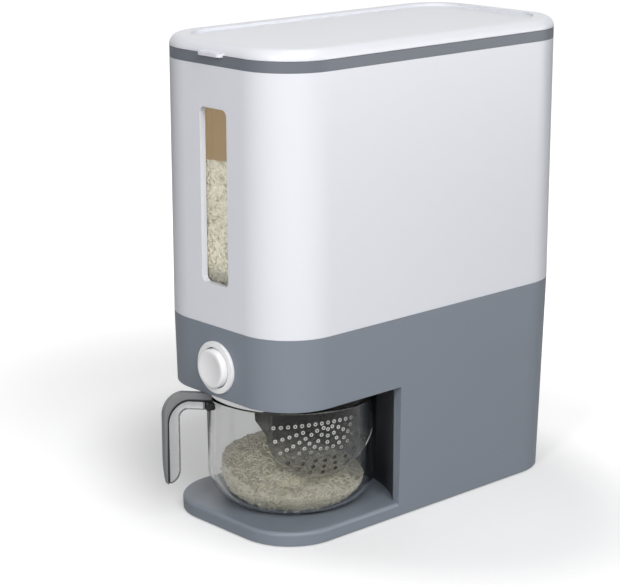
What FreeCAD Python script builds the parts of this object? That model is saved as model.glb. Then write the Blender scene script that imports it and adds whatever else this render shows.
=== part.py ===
"""Free-standing rice dispenser: a white hopper on a grey base with a bay for a clear washing cup.

Millimetres. X is to the right, Y to the back, Z up. The model is built round the centre of the
housing's plan, with the underside of the base at Z 0, and is moved at the end so that the origin is
under the middle of the whole object, on the plane that it stands on.
"""
import FreeCAD
import Part
import math
import os

Vector = FreeCAD.Vector
X_AXIS = Vector(1, 0, 0)
Y_AXIS = Vector(0, 1, 0)
Z_AXIS = Vector(0, 0, 1)

# ---- driving dimensions ----------------------------------------------------------------------

# Housing
housing_width = 160.0
housing_depth = 322.0
corner_radius = 45.0
upper_height = 201.7
base_wall = 3.0
upper_wall = 2.8
side_draft = 1.15
front_draft = 0.9
fit_gap = 0.3

# Bay for the cup
tray_height = 11.0
tray_edge_radius = 3.0
tray_skin = 2.5
bay_height = 98.4
bay_depth = 124.0
recess_depth = 27.0
recess_side_inset = 9.5
apron_height = 57.6
ceiling_thickness = 3.0

# Underside
plate_lift = 0.6
plate_thickness = 2.6
foot_radius = 8.0
foot_height = 1.6
foot_side_inset = 28.0
foot_front_inset = 36.0
foot_rear_inset = 49.0
boss_radius = 4.0
boss_height = 18.0
rib_thickness = 4.0
tray_screw_side_inset = 34.0
tray_screw_setback = 69.0
side_screw_inset = 18.0
side_screw_rear_inset = 101.0
rear_screw_side_inset = 40.0
rear_screw_inset = 21.0
screw_radius = 1.4
screw_head_radius = 3.0
screw_head_height = 1.4
screw_length = 7.0
screw_clearance = 0.15

# Upper housing
tongue_depth = 6.0
tongue_thickness = 2.0
window_width = 31.0
window_height = 136.5
window_rise = 33.0
window_radius = 5.0
reveal_depth = 5.5
reveal_thickness = 2.2
pane_thickness = 1.8
pane_lap = 4.5

# Collar and lid
collar_height = 8.4
collar_width = 11.0
collar_skirt_depth = 8.0
lid_height = 8.6
lid_edge_radius = 8.0
lid_skin = 2.4
lid_border = 17.0
panel_recess = 2.2
lid_skirt_thickness = 2.0
lid_skirt_depth = 6.5
seal_thickness = 2.6
seal_height = 3.4
tab_width = 26.4
tab_reach = 4.6
tab_height = 2.6
tab_drop = 1.3
tab_corner_radius = 3.9
hinge_offset = 2.2
knuckle_radius = 4.0
lid_knuckle_length = 44.0
collar_knuckle_length = 12.0
knuckle_gap = 0.4
hinge_pin_radius = 1.5
hinge_running_gap = 0.06

# Hopper funnel, gate and chute
outlet_width = 41.0
outlet_length = 44.0
outlet_setback = 73.0
funnel_wall = 2.5
rear_slope = 26.0
side_slope = 40.0
front_slope = 57.0
funnel_flange = 5.0
flange_thickness = 2.0
gate_slot_width = 36.0
gate_slot_length = 9.0
gate_thickness = 2.0
gate_overlap = 6.0
gate_rear_margin = 16.0
rail_width = 4.0
rail_lip = 2.4
lip_thickness = 2.0
frame_thickness = 3.0
frame_ear = 11.0
chute_length = 20.0
chute_wall = 2.0
chute_flange = 5.0
chute_flange_thickness = 2.0

# Button
button_rise = 24.6
bezel_radius = 20.8
bezel_bore = 16.2
bezel_projection = 2.6
bezel_depth = 8.0
bezel_sleeve_wall = 1.6
bezel_edge_radius = 0.65
cap_radius = 15.4
cap_projection = 5.0
cap_skin = 2.2
cap_skirt_depth = 9.0
cap_skirt_wall = 1.8
cap_edge_radius = 1.6
cap_dish_depth = 1.4
stem_radius = 4.0
stem_length = 31.0
stem_groove_radius = 3.0
stem_running_gap = 0.08
guide_thickness = 4.0
guide_width = 30.0
guide_top_margin = 5.0
guide_foot = 9.0
guide_foot_thickness = 3.0
spring_radius = 8.0
spring_wire = 0.6
spring_turns = 6.0
spring_sections = 14
spring_wire_sides = 6
clip_radius = 6.5
clip_thickness = 1.0
coupling_thickness = 3.0
coupling_width = 18.0
press_travel = 8.0

# Cup
cup_setback = 78.0
cup_turn = -14.5
cup_rim_radius = 69.8
cup_wall_radius = 68.8
cup_shoulder_radius = 67.6
cup_foot_radius = 50.0
cup_shoulder_height = 27.0
cup_belly_radius = 63.0
cup_belly_height = 9.7
cup_height = 89.7
cup_wall = 2.0
cup_rim_height = 2.0
cup_seat_gap = 0.3

# Strainer
strainer_distance = 42.0
strainer_thickness = 1.6
strainer_band_height = 3.7
strainer_wing_height = 20.0
dish_radius = 46.8
dish_depth = 10.0
dish_border = 2.0
dish_setback = 5.0
dish_centre_height = 74.0
hole_radius = 1.2
hole_rays = 13
holes_per_ray = 8
ray_shares = (13, 3, 2)
hole_pitch = 5.44
strainer_top_drop = 2.0

# Handle
handle_reach = 112.9
handle_top = 100.5
arm_slope = 0.19
strap_thickness = 3.4
strap_top_thickness = 7.4
strap_width = 6.0
strap_corner = 17.0
strap_tip_height = 26.7
strap_tip_inset = 2.3
strap_root = 72.0
core_thickness = 9.8
core_top_thickness = 6.7
core_width = 5.0
core_corner = 6.5
core_gap = 0.3
core_tip_rise = 10.6
core_tip_bulge = 2.6
clip_block_reach = 9.0
clip_block_margin = 1.2
clip_block_width = 9.5

# ---- worked out from the driving dimensions --------------------------------------------------

bay_ceiling = tray_height + bay_height
floor_height = bay_ceiling + ceiling_thickness
seam_height = bay_ceiling + apron_height
collar_bottom = seam_height + upper_height
collar_top = collar_bottom + collar_height
lid_bottom = collar_top + fit_gap
lid_top = lid_bottom + lid_height
front_y = -housing_depth / 2
rear_y = housing_depth / 2
bay_back_y = front_y + bay_depth
recess_half_width = housing_width / 2 - recess_side_inset
recess_radius = (recess_half_width ** 2 + recess_depth ** 2) / (2 * recess_depth)
recess_centre_y = bay_back_y + recess_depth - recess_radius
cup_centre_y = front_y + cup_setback
outlet_centre_y = front_y + outlet_setback
window_bottom = seam_height + window_rise
button_height = bay_ceiling + button_rise
foot_x = housing_width / 2 - foot_side_inset
foot_front_y = front_y + foot_front_inset
foot_rear_y = rear_y - foot_rear_inset
tray_screw_x = housing_width / 2 - tray_screw_side_inset
tray_screw_y = front_y + tray_screw_setback
side_screw_x = housing_width / 2 - side_screw_inset
side_screw_y = rear_y - side_screw_rear_inset
rear_screw_x = housing_width / 2 - rear_screw_side_inset
rear_screw_y = rear_y - rear_screw_inset
frame_bottom = floor_height + chute_flange_thickness
frame_top = frame_bottom + frame_thickness
gate_bottom = frame_top + fit_gap
gate_top = gate_bottom + gate_thickness
outlet_height = gate_top + fit_gap
rail_top = outlet_height + lip_thickness
funnel_height = housing_depth * math.tan(math.radians(rear_slope))
gate_half_width = outlet_width / 2 + funnel_wall + fit_gap + rail_lip
outlet_front_y = outlet_centre_y - outlet_length / 2
outlet_rear_y = outlet_centre_y + outlet_length / 2
slot_front_y = outlet_centre_y - gate_slot_length / 2
apron_front_y = front_y + math.tan(math.radians(front_draft)) * (seam_height - button_height)
bezel_front_y = apron_front_y - bezel_projection
cap_front_y = bezel_front_y - cap_projection
stem_front_y = cap_front_y + cap_skin
stem_rear_y = stem_front_y + stem_length
clip_front_y = stem_rear_y - coupling_thickness - clip_thickness - 4 * fit_gap
guide_rear_y = clip_front_y - fit_gap
guide_front_y = guide_rear_y - guide_thickness
hinge_y = rear_y + hinge_offset
hinge_z = collar_top
cup_bottom = tray_height + cup_seat_gap
dish_centre_z = cup_bottom + dish_centre_height
plate_top = plate_lift + plate_thickness
tray_underside = tray_height - tray_skin
screw_seat = plate_lift + screw_head_height
knuckle_span = lid_knuckle_length / 2 + knuckle_gap


# ---- shared shapes ---------------------------------------------------------------------------

def rounded_rectangle(x_half, y_front, y_rear, radius, z):
    """A closed wire: a rectangle with round corners, level at z."""
    edges = []
    corners = [
        (x_half - radius, y_front + radius, -90),
        (x_half - radius, y_rear - radius, 0),
        (-x_half + radius, y_rear - radius, 90),
        (-x_half + radius, y_front + radius, 180),
    ]
    arcs = []
    for x, y, start in corners:
        points = []
        for angle in (start, start + 45, start + 90):
            turn = math.radians(angle)
            points.append(Vector(x + radius * math.cos(turn), y + radius * math.sin(turn), z))
        arcs.append(points)
    for i, points in enumerate(arcs):
        edges.append(Part.Arc(*points).toShape())
        edges.append(Part.makeLine(points[2], arcs[(i + 1) % 4][0]))
    return Part.Wire(edges)


def plan_outline(inset, z):
    """The housing's plan, moved inwards by inset."""
    return rounded_rectangle(
        housing_width / 2 - inset, front_y + inset, rear_y - inset, corner_radius - inset, z
    )


def base_outline(inset, z):
    """The base's plan at height z: it draws in towards the floor."""
    side = math.tan(math.radians(side_draft)) * (seam_height - z)
    front = math.tan(math.radians(front_draft)) * (seam_height - z)
    return rounded_rectangle(
        housing_width / 2 - side - inset, front_y + front + inset, rear_y - side - inset,
        corner_radius - inset, z
    )


def plan_prism(inset, bottom, top):
    return Part.Face(plan_outline(inset, bottom)).extrude(Vector(0, 0, top - bottom))


def plan_ring(outer_inset, inner_inset, bottom, top):
    return plan_prism(outer_inset, bottom, top).cut(plan_prism(inner_inset, bottom, top))


def base_prism(inset, bottom, top):
    return Part.makeLoft([base_outline(inset, bottom), base_outline(inset, top)], True, True)


def box(x_min, x_max, y_min, y_max, z_min, z_max):
    return Part.makeBox(x_max - x_min, y_max - y_min, z_max - z_min, Vector(x_min, y_min, z_min))


def post(x, y, bottom, top, radius):
    return Part.makeCylinder(radius, top - bottom, Vector(x, y, bottom))


def rod(radius, y_start, y_end, height=button_height):
    """A round bar along Y on the centre plane."""
    return Part.makeCylinder(radius, y_end - y_start, Vector(0, y_start, height), Y_AXIS)


def bar(radius, x_start, x_end):
    """A round bar on the hinge axis."""
    return Part.makeCylinder(radius, x_end - x_start, Vector(x_start, hinge_y, hinge_z), X_AXIS)


def polygon_face(points):
    return Part.Face(Part.makePolygon(points + points[:1]))


def joined(solids):
    return solids[0].multiFuse(solids[1:]).removeSplitter()


def mirrored_x(solid):
    return solid.mirror(Vector(0, 0, 0), X_AXIS)


def both_sides(solids):
    return solids + [mirrored_x(solid) for solid in solids]


# ---- base ------------------------------------------------------------------------------------

def screw_places():
    return [(tray_screw_x, tray_screw_y), (side_screw_x, side_screw_y), (rear_screw_x, rear_screw_y)]


def recess_cylinder(extra, bottom, top):
    return post(0, recess_centre_y, bottom, top, recess_radius + extra)


def base_outside():
    tray = base_prism(0, 0, tray_height)
    top_edges = [edge for edge in tray.Edges if edge.BoundBox.ZMin > tray_height - 0.01]
    tray = tray.makeFillet(tray_edge_radius, top_edges)
    behind = box(-housing_width, housing_width, bay_back_y, housing_depth, 0, seam_height)
    back = base_prism(0, 0, seam_height).common(behind)
    back = back.cut(recess_cylinder(0, tray_height, bay_ceiling))
    apron = base_prism(0, bay_ceiling, seam_height)
    return joined([tray, back, apron])


def base_inside():
    """The hollows of the base: under the tray, behind the bay and above the top of the bay."""
    under = base_prism(base_wall, -1, tray_underside)
    inner = base_prism(base_wall, -1, seam_height + 1)
    behind = box(-housing_width, housing_width, bay_back_y + base_wall, housing_depth, -1, seam_height + 1)
    recess_floor = recess_cylinder(base_wall + fit_gap, tray_underside, tray_height)
    above = box(-housing_width, housing_width, -housing_depth, housing_depth, bay_ceiling, seam_height + 1)
    return joined([under, inner.common(behind).cut(recess_floor), inner.common(above)])


def base_bosses():
    """Posts that the underside screws bite into, on ribs where the tray isn't above them."""
    bosses = [post(tray_screw_x, tray_screw_y, plate_top, tray_height - tray_skin / 2, boss_radius)]
    top = plate_top + boss_height
    wall_x = housing_width / 2 - base_wall * 1.5
    wall_y = rear_y - base_wall * 1.5
    half = rib_thickness / 2
    bosses.append(post(side_screw_x, side_screw_y, plate_top, top, boss_radius))
    bosses.append(box(side_screw_x, wall_x, side_screw_y - half, side_screw_y + half, plate_top, top))
    bosses.append(post(rear_screw_x, rear_screw_y, plate_top, top, boss_radius))
    bosses.append(box(rear_screw_x - half, rear_screw_x + half, rear_screw_y, wall_y, plate_top, top))
    return both_sides(bosses)


def make_base_housing():
    body = base_outside().cut(base_inside())
    body = joined([body] + base_bosses())
    for x, y in screw_places():
        hole = post(x, y, plate_top - 1, plate_top + screw_length, screw_radius + screw_clearance)
        body = body.cut(Part.makeCompound(both_sides([hole])))
    return body.cut(rod(bezel_bore + bezel_sleeve_wall + fit_gap, apron_front_y - 10, apron_front_y + 10))


def make_bay_liner():
    """The curved back wall of the bay, standing on the tray behind the two flanges."""
    liner = recess_cylinder(base_wall, tray_height, bay_ceiling).cut(recess_cylinder(0, tray_height, bay_ceiling))
    behind = box(-housing_width, housing_width, bay_back_y + base_wall, housing_depth, tray_height, bay_ceiling)
    return liner.common(behind)


def make_bay_ceiling():
    """The plate over the bay, which carries the gate and the button's guide."""
    room = base_prism(base_wall + fit_gap, bay_ceiling, floor_height)
    over_tray = box(-housing_width, housing_width, -housing_depth, bay_back_y + base_wall, bay_ceiling, floor_height)
    plate = room.common(joined([over_tray, recess_cylinder(base_wall, bay_ceiling, floor_height)]))
    for x, y in mechanism_screw_places():
        plate = plate.cut(post(x, y, bay_ceiling + fit_gap, floor_height + 1, screw_radius + screw_clearance))
    return plate.cut(chute_passage(fit_gap + chute_wall, bay_ceiling - 1, floor_height + 1))


def make_base_plate():
    plate = base_prism(base_wall + fit_gap, plate_lift, plate_top)
    for x, y in screw_places():
        hole = post(x, y, plate_lift - 1, plate_top + 1, screw_radius + screw_clearance)
        sink = post(x, y, plate_lift - 1, screw_seat, screw_head_radius + fit_gap)
        plate = plate.cut(Part.makeCompound(both_sides([hole.fuse(sink)])))
    return plate


def make_rubber_feet():
    feet = []
    for y in (foot_front_y, foot_rear_y):
        feet.append(post(foot_x, y, plate_lift - foot_height, plate_lift, foot_radius))
    return Part.makeCompound(both_sides(feet))


def upright_screw(x, y, seat, grip):
    """A screw driven upwards: its head lies below seat."""
    head = post(x, y, seat - screw_head_height, seat, screw_head_radius)
    return head.fuse(post(x, y, seat, seat + grip, screw_radius)).removeSplitter()


def make_base_screws():
    grip = screw_length + plate_top - screw_seat - 1
    tray_grip = tray_underside - screw_seat - fit_gap
    screws = []
    for x, y in screw_places():
        length = tray_grip if (x, y) == (tray_screw_x, tray_screw_y) else grip
        screws.append(upright_screw(x, y, screw_seat, min(length, grip)))
    return Part.makeCompound(both_sides(screws))


# ---- upper housing ---------------------------------------------------------------------------

def window_block(extra, y_min, y_max):
    """A round-cornered bar through the window, larger than it by extra all round."""
    half = window_width / 2 + extra
    bottom = window_bottom - extra
    wire = rounded_rectangle(half, bottom, window_bottom + window_height + extra, window_radius + extra, 0)
    face = Part.Face(wire)
    face.rotate(Vector(0, 0, 0), X_AXIS, 90)
    face.translate(Vector(0, y_min, 0))
    return face.extrude(Vector(0, y_max - y_min, 0))


def make_upper_housing():
    shell = plan_ring(0, upper_wall, seam_height, collar_bottom)
    tongue_outer = base_wall + fit_gap
    tongue_inner = tongue_outer + tongue_thickness
    shelf = plan_ring(upper_wall / 2, tongue_inner, seam_height, seam_height + tongue_thickness)
    tongue = plan_ring(tongue_outer, tongue_inner, seam_height - tongue_depth, seam_height + tongue_thickness)
    frame = window_block(reveal_thickness, front_y + upper_wall / 2, front_y + reveal_depth)
    body = joined([shell, shelf, tongue, frame])
    return body.cut(window_block(0, front_y - 1, front_y + reveal_depth + 1))


def make_window_pane():
    return window_block(pane_lap, front_y + reveal_depth, front_y + reveal_depth + pane_thickness)


def make_collar_ring():
    ring = plan_ring(0, collar_width, collar_bottom, collar_top)
    skirt_outer = upper_wall + fit_gap
    skirt = plan_ring(skirt_outer, skirt_outer + tongue_thickness, collar_bottom - collar_skirt_depth,
                      collar_bottom + 1)
    ring = joined([ring, skirt])
    ring = ring.cut(bar(knuckle_radius + fit_gap, -knuckle_span, knuckle_span))
    for side in (-1, 1):
        start = knuckle_span if side > 0 else -knuckle_span - collar_knuckle_length
        end = start + collar_knuckle_length
        web = box(start, end, rear_y - 1, hinge_y, collar_bottom, hinge_z)
        ring = joined([ring, web, bar(knuckle_radius, start, end)])
    return ring.cut(bar(hinge_pin_radius, -housing_width / 2, housing_width / 2))


# ---- lid -------------------------------------------------------------------------------------

def lid_outside():
    block = plan_prism(0, lid_bottom, lid_top)
    top_edges = [edge for edge in block.Edges if edge.BoundBox.ZMin > lid_top - 0.01]
    block = block.makeFillet(lid_edge_radius, top_edges)
    panel = plan_prism(lid_border, lid_top - panel_recess, lid_top + 1)
    return block.cut(panel)


def lid_inside():
    """The hollow under the lid's skin, with round upper edges that follow the outside."""
    hollow = plan_prism(lid_skin, lid_bottom - lid_edge_radius, lid_top - panel_recess - lid_skin)
    top_edges = [edge for edge in hollow.Edges if edge.BoundBox.ZMin > lid_top - panel_recess - lid_skin - 0.01]
    return hollow.makeFillet(lid_edge_radius - lid_skin, top_edges)


def lid_skirt_inset():
    return collar_width + fit_gap + seal_thickness


def make_lid():
    body = lid_outside().cut(lid_inside())
    inset = lid_skirt_inset()
    skirt = plan_ring(inset, inset + lid_skirt_thickness, collar_top - lid_skirt_depth,
                      lid_top - panel_recess - lid_skin / 2)
    half = tab_width / 2
    tab = box(-half, half, front_y - tab_reach, front_y + lid_skin, lid_bottom - tab_drop,
              lid_bottom - tab_drop + tab_height)
    tab = tab.cut(plan_prism(-fit_gap, collar_bottom - 1, lid_bottom))
    upright = [edge for edge in tab.Edges if edge.BoundBox.YMax < front_y - tab_reach / 2
               and edge.BoundBox.ZLength > tab_height / 2]
    tab = tab.makeFillet(tab_corner_radius, upright)
    half = lid_knuckle_length / 2
    web = box(-half, half, rear_y - lid_skin, hinge_y + 1, lid_bottom, lid_bottom + lid_skin)
    end = knuckle_span + collar_knuckle_length + knuckle_gap
    body = body.cut(bar(knuckle_radius + fit_gap, -end, end))
    body = joined([body, skirt, tab, web, bar(knuckle_radius, -half, half)])
    return body.cut(bar(hinge_pin_radius + hinge_running_gap, -housing_width, housing_width))


def make_lid_seal():
    inset = collar_width + fit_gap
    bottom = collar_top - lid_skirt_depth + fit_gap
    return plan_ring(inset, inset + seal_thickness, bottom, bottom + seal_height)


def make_hinge_pin():
    end = knuckle_span + collar_knuckle_length
    return bar(hinge_pin_radius, -end, end)


# ---- funnel, gate and chute --------------------------------------------------------------------

def slope_run(height, slope):
    return height / math.tan(math.radians(slope))


def funnel_void(wall):
    """Everything above the funnel's four slopes; wall moves each slope out by its thickness."""
    rise = funnel_height
    top = outlet_height + rise
    shift = {slope: wall / math.sin(math.radians(slope)) for slope in (rear_slope, side_slope, front_slope)}
    front = outlet_front_y - shift[front_slope]
    rear = outlet_rear_y + shift[rear_slope]
    side = outlet_width / 2 + shift[side_slope]
    lengthwise = polygon_face([
        Vector(-housing_width, front, outlet_height), Vector(-housing_width, rear, outlet_height),
        Vector(-housing_width, rear + slope_run(rise, rear_slope), top),
        Vector(-housing_width, front - slope_run(rise, front_slope), top),
    ]).extrude(Vector(2 * housing_width, 0, 0))
    across = polygon_face([
        Vector(-side, -housing_depth, outlet_height), Vector(side, -housing_depth, outlet_height),
        Vector(side + slope_run(rise, side_slope), -housing_depth, top),
        Vector(-side - slope_run(rise, side_slope), -housing_depth, top),
    ]).extrude(Vector(0, 3 * housing_depth, 0))
    return lengthwise.common(across)


def outlet_block(extra, bottom, top):
    half = outlet_width / 2 + extra
    return box(-half, half, outlet_front_y - extra, outlet_rear_y + extra, bottom, top)


def make_hopper_funnel():
    inset = base_wall + fit_gap + tongue_thickness + fit_gap
    space = plan_prism(inset, outlet_height, outlet_height + funnel_height)
    below_flange = box(-housing_width, housing_width, -housing_depth, housing_depth, outlet_height, rail_top)
    walls = funnel_void(funnel_wall).cut(funnel_void(0)).common(space).cut(below_flange)
    neck = outlet_block(funnel_wall, outlet_height, rail_top + flange_thickness)
    flange = outlet_block(funnel_wall + funnel_flange, rail_top, rail_top + flange_thickness)
    body = joined([walls, flange, neck])
    return body.cut(outlet_block(0, outlet_height - 1, rail_top + flange_thickness / 2)).cut(funnel_void(0))


def chute_passage(extra, bottom, top):
    """The upright passage that the rice falls through, larger by extra all round."""
    half = gate_slot_width / 2 + extra
    length = chute_length / 2 + extra
    return box(-half, half, outlet_centre_y - length, outlet_centre_y + length, bottom, top)


def make_chute():
    tube = chute_passage(chute_wall, bay_ceiling, floor_height + chute_flange_thickness)
    flange = chute_passage(chute_wall + chute_flange, floor_height, floor_height + chute_flange_thickness)
    return joined([tube, flange]).cut(chute_passage(0, bay_ceiling - 1, frame_top))


def frame_half_width():
    return gate_half_width + fit_gap + rail_width


def frame_screw_x():
    return frame_half_width() + frame_ear / 2


def mechanism_screw_places():
    """Where the screws stand that hold the gate frame and the stem guide to the bay's ceiling."""
    x = frame_screw_x()
    inset = outlet_length / 2 - boss_radius
    places = [(x, outlet_centre_y - inset), (x, outlet_centre_y + inset)]
    places.append(((guide_width - guide_foot) / 2, guide_front_y - guide_foot / 2))
    return places + [(-x, y) for x, y in places]


def make_gate_frame():
    half = frame_half_width()
    outer = half + frame_ear
    front = outlet_front_y - funnel_wall
    rear = outlet_rear_y + gate_rear_margin
    plate = box(-outer, outer, front, outlet_rear_y + funnel_wall, frame_bottom, frame_top)
    tail = box(-half, half, front, rear, frame_bottom, frame_top)
    inner = gate_half_width + fit_gap
    solids = [plate, tail]
    flange_side = gate_slot_width / 2 + chute_wall + chute_flange + fit_gap
    for side in both_sides([
        box(inner, half, front, rear, frame_bottom, rail_top),
        box(inner - rail_lip, half, front, rear, outlet_height, rail_top),
        box(max(flange_side, inner), outer, front, outlet_rear_y + funnel_wall, floor_height, frame_top),
    ]):
        solids.append(side)
    body = joined(solids)
    slot = gate_slot_width / 2
    body = body.cut(box(-slot, slot, slot_front_y, slot_front_y + gate_slot_length, floor_height, gate_bottom))
    for x, y in mechanism_screw_places():
        body = body.cut(post(x, y, floor_height - 1, frame_top + 1, screw_radius + screw_clearance))
    return body


def make_gate_plate():
    half = gate_half_width
    front = stem_rear_y - coupling_thickness
    rear = outlet_rear_y + gate_overlap
    plate = box(-half, half, front, rear, gate_bottom, gate_top)
    slot = gate_slot_width / 2
    slot_start = slot_front_y - press_travel
    plate = plate.cut(box(-slot, slot, slot_start, slot_start + gate_slot_length, floor_height, outlet_height))
    width = coupling_width / 2
    upright = box(-width, width, front, front + coupling_thickness, gate_bottom, button_height + stem_radius + 1)
    hole = rod(screw_radius + screw_clearance, front - 1, front + coupling_thickness + 1)
    return joined([plate, upright]).cut(hole)


def make_mechanism_screws():
    screws = []
    for x, y in mechanism_screw_places():
        seat = frame_top if abs(x) == frame_screw_x() else floor_height + guide_foot_thickness
        shank = post(x, y, bay_ceiling + 2 * fit_gap, seat, screw_radius)
        head = post(x, y, seat, seat + screw_head_height, screw_head_radius)
        screws.append(joined([shank, head]))
    return Part.makeCompound(screws)


# ---- button ------------------------------------------------------------------------------------

def make_button_bezel():
    ring = rod(bezel_radius, bezel_front_y, apron_front_y)
    edges = [edge for edge in ring.Edges if edge.BoundBox.YMax < bezel_front_y + 0.01]
    ring = ring.makeFillet(bezel_edge_radius, edges)
    ring = ring.cut(base_prism(0, bay_ceiling, seam_height))
    sleeve = rod(bezel_bore + bezel_sleeve_wall, bezel_front_y + bezel_projection / 2,
                 apron_front_y + bezel_depth)
    return joined([ring, sleeve]).cut(rod(bezel_bore, bezel_front_y - 1, apron_front_y + bezel_depth + 1))


def make_button_cap():
    cap = rod(cap_radius, cap_front_y, cap_front_y + cap_skirt_depth)
    edges = [edge for edge in cap.Edges if edge.BoundBox.YMax < cap_front_y + 0.01]
    cap = cap.makeFillet(cap_edge_radius, edges)
    dish_edge = cap_radius - 2 * cap_edge_radius
    sphere_radius = (dish_edge ** 2 + cap_dish_depth ** 2) / (2 * cap_dish_depth)
    ball = Part.makeSphere(sphere_radius, Vector(0, cap_front_y + cap_dish_depth - sphere_radius, button_height))
    hollow = rod(cap_radius - cap_skirt_wall, cap_front_y + cap_skin + cap_dish_depth,
                 cap_front_y + cap_skirt_depth + 1)
    socket = rod(stem_radius, stem_front_y + cap_dish_depth, cap_front_y + cap_skirt_depth)
    return cap.cut(ball).cut(hollow).cut(socket)


def make_button_stem():
    start = stem_front_y + cap_dish_depth
    stem = rod(stem_radius, start, stem_rear_y - coupling_thickness)
    groove = rod(stem_radius, clip_front_y, clip_front_y + clip_thickness)
    stem = stem.cut(groove.cut(rod(stem_groove_radius, clip_front_y, clip_front_y + clip_thickness)))
    spigot = rod(screw_radius, stem_rear_y - coupling_thickness, stem_rear_y)
    return joined([stem, spigot])


def make_retaining_clip():
    ring = rod(clip_radius, clip_front_y, clip_front_y + clip_thickness)
    ring = ring.cut(rod(stem_groove_radius, clip_front_y, clip_front_y + clip_thickness))
    mouth = box(-stem_radius / 2, stem_radius / 2, clip_front_y, clip_front_y + clip_thickness,
                button_height, button_height + clip_radius + 1)
    return ring.cut(mouth)


def make_stem_guide():
    half = guide_width / 2
    top = button_height + stem_radius + guide_top_margin
    wall = box(-half, half, guide_front_y, guide_rear_y, floor_height, top)
    foot = box(-half, half, guide_front_y - guide_foot, guide_rear_y, floor_height,
               floor_height + guide_foot_thickness)
    body = joined([wall, foot]).cut(rod(stem_radius + stem_running_gap, guide_front_y - 1, guide_rear_y + 1))
    for x, y in mechanism_screw_places():
        body = body.cut(post(x, y, floor_height - 1, floor_height + guide_foot_thickness + 1,
                             screw_radius + screw_clearance))
    return body


def make_return_spring():
    start = stem_front_y + cap_dish_depth + spring_wire + fit_gap
    length = guide_front_y - spring_wire - fit_gap - start
    steps = int(spring_turns * spring_sections)
    sections = []
    for step in range(steps + 1):
        turn = 2 * math.pi * step / spring_sections
        outward = Vector(math.cos(turn), 0, math.sin(turn))
        centre = outward * spring_radius + Vector(0, start + length * step / steps, button_height)
        corners = []
        for corner in range(spring_wire_sides + 1):
            angle = 2 * math.pi * corner / spring_wire_sides
            corners.append(centre + (outward * math.cos(angle) + Y_AXIS * math.sin(angle)) * spring_wire)
        sections.append(Part.makePolygon(corners))
    return Part.makeLoft(sections, True, True)


# ---- cup, built facing forwards and then turned ------------------------------------------------

def set_cup_place(solid):
    solid.rotate(Vector(0, 0, 0), Z_AXIS, cup_turn)
    solid.translate(Vector(0, cup_centre_y, 0))
    return solid


def cup_profile(wall, bottom, top):
    """Half the cup's section, its surface moved inwards by wall."""
    shoulder = cup_bottom + cup_shoulder_height
    belly = Part.Arc(
        Vector(cup_foot_radius, 0, cup_bottom), Vector(cup_belly_radius, 0, cup_bottom + cup_belly_height),
        Vector(cup_shoulder_radius, 0, shoulder)
    ).toShape().Curve
    centre = belly.Center
    arc = []
    for height in (bottom, (bottom + shoulder) / 2, shoulder):
        reach = math.sqrt((belly.Radius - wall) ** 2 - (height - centre.z) ** 2)
        arc.append(Vector(centre.x + reach, 0, height))
    rim = Vector(cup_wall_radius - wall, 0, top)
    edges = [
        Part.makeLine(Vector(0, 0, bottom), arc[0]),
        Part.Arc(*arc).toShape(),
        Part.makeLine(arc[2], rim),
        Part.makeLine(rim, Vector(0, 0, top)),
        Part.makeLine(Vector(0, 0, top), Vector(0, 0, bottom)),
    ]
    return Part.Face(Part.Wire(edges))


def cup_revolve(wall, bottom, top):
    return cup_profile(wall, bottom, top).revolve(Vector(0, 0, 0), Z_AXIS, 360)


def make_cup_bowl():
    top = cup_bottom + cup_height
    body = cup_revolve(0, cup_bottom, top)
    rim = post(0, 0, top - cup_rim_height, top, cup_rim_radius)
    body = joined([body, rim])
    return set_cup_place(body.cut(cup_revolve(cup_wall, cup_bottom + cup_wall, top + 1)))


def dish_cap(thickness_inwards):
    """A shallow dome bulging along +X from the strainer's panel."""
    sphere_radius = (dish_radius ** 2 + dish_depth ** 2) / (2 * dish_depth)
    centre_x = strainer_distance + dish_depth - sphere_radius
    ball = Part.makeSphere(sphere_radius - thickness_inwards, Vector(centre_x, dish_setback, dish_centre_z))
    front = Part.makeCylinder(dish_radius - thickness_inwards, 2 * dish_depth,
                              Vector(strainer_distance - thickness_inwards, dish_setback, dish_centre_z), X_AXIS)
    return ball.common(front)


def strainer_holes():
    """Radial rows of round holes over the lower half of the dome, with fewer rows near its middle."""
    holes = []
    for ray in range(hole_rays):
        angle = math.pi + math.pi * ray / (hole_rays - 1)
        for step in range(holes_per_ray + 1):
            if step < len(ray_shares) and ray % ray_shares[step] != 0:
                continue
            distance = hole_pitch * step
            y = dish_setback + distance * math.cos(angle)
            z = dish_centre_z + distance * math.sin(angle)
            holes.append(Part.makeCylinder(hole_radius, 3 * dish_depth,
                                           Vector(strainer_distance - dish_depth, y, z), X_AXIS))
    return Part.makeCompound(holes)


def strainer_outline(top):
    """The dish's round border, and a band under the rim that widens to the cup's wall on both sides."""
    radius = dish_radius + dish_border
    disc = Part.makeCylinder(radius, strainer_distance, Vector(0, dish_setback, dish_centre_z), X_AXIS)
    foot = top - strainer_wing_height
    half = math.sqrt(radius ** 2 - (foot - dish_centre_z) ** 2)
    band_low = top - strainer_band_height
    wide = radius + dish_setback
    corners = [
        Vector(0, dish_setback - half, foot), Vector(0, -wide, band_low), Vector(0, -cup_rim_radius, band_low),
        Vector(0, -cup_rim_radius, top), Vector(0, cup_rim_radius, top), Vector(0, cup_rim_radius, band_low),
        Vector(0, wide, band_low), Vector(0, dish_setback + half, foot),
    ]
    wings = Part.Face(Part.makePolygon(corners + corners[:1])).extrude(Vector(strainer_distance, 0, 0))
    return joined([disc, wings])


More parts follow.
